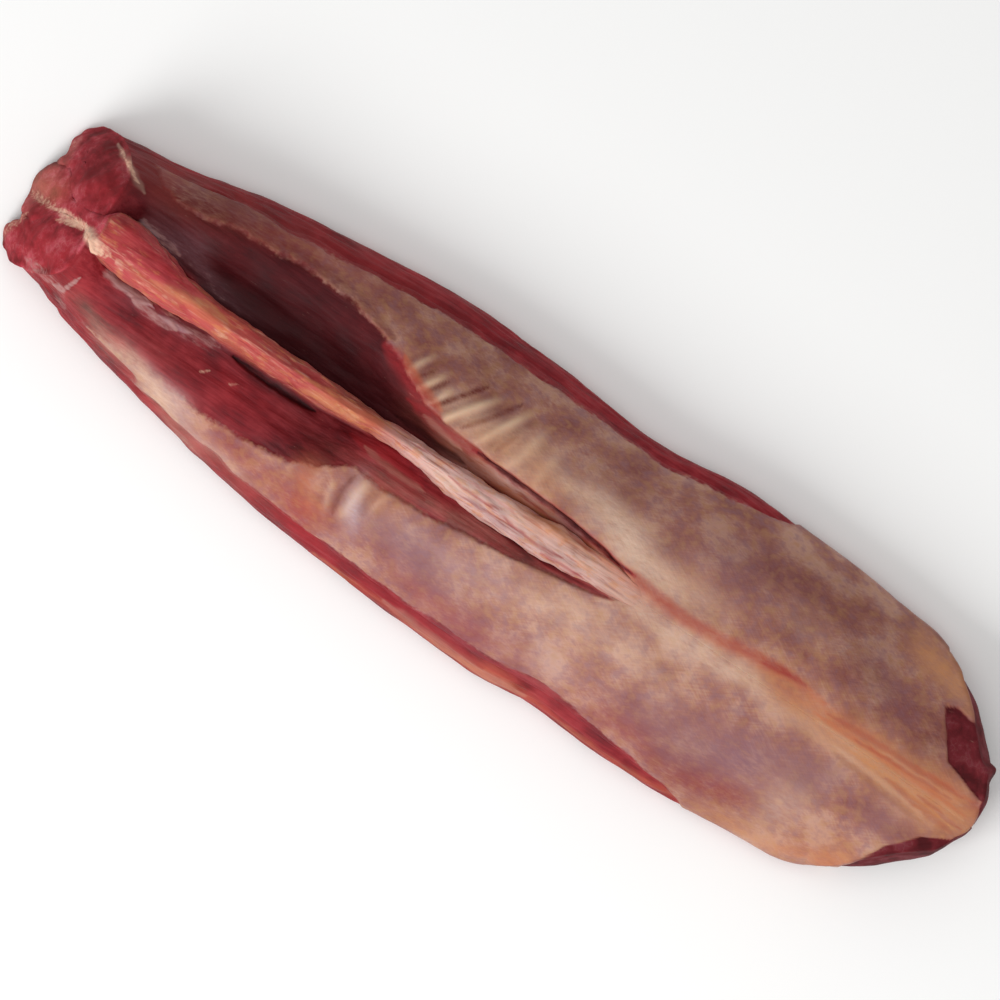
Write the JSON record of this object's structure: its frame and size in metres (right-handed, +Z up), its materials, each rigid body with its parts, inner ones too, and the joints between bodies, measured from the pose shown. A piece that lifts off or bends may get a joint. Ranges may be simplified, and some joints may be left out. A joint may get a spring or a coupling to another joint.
{
  "type": "raw venison saddle",
  "caption": "Raw venison saddle, bone in: a long pair of loins under silver skin, bare dark meat beside the backbone's ridge in front, lying on its flanks.",
  "frame": {"origin": "under the middle of the saddle's outline, on the surface that its flanks rest on", "axes": "+X along the backbone from the shoulder cut to the haunch cut, +Y towards the animal's right side, +Z up out of the back"},
  "size_m": [0.5199, 0.1412, 0.0645],
  "materials": {
    "venison_meat": "moist raw meat under thin translucent silver skin, satin gloss",
    "backbone": "ridge of bone and gristle with red meat and pinkish fat left on it, moist"
  },
  "bodies": {
    "root": {"loin_left": "venison_meat", "loin_right": "venison_meat", "backbone": "backbone"}
  },
  "joints": []
}
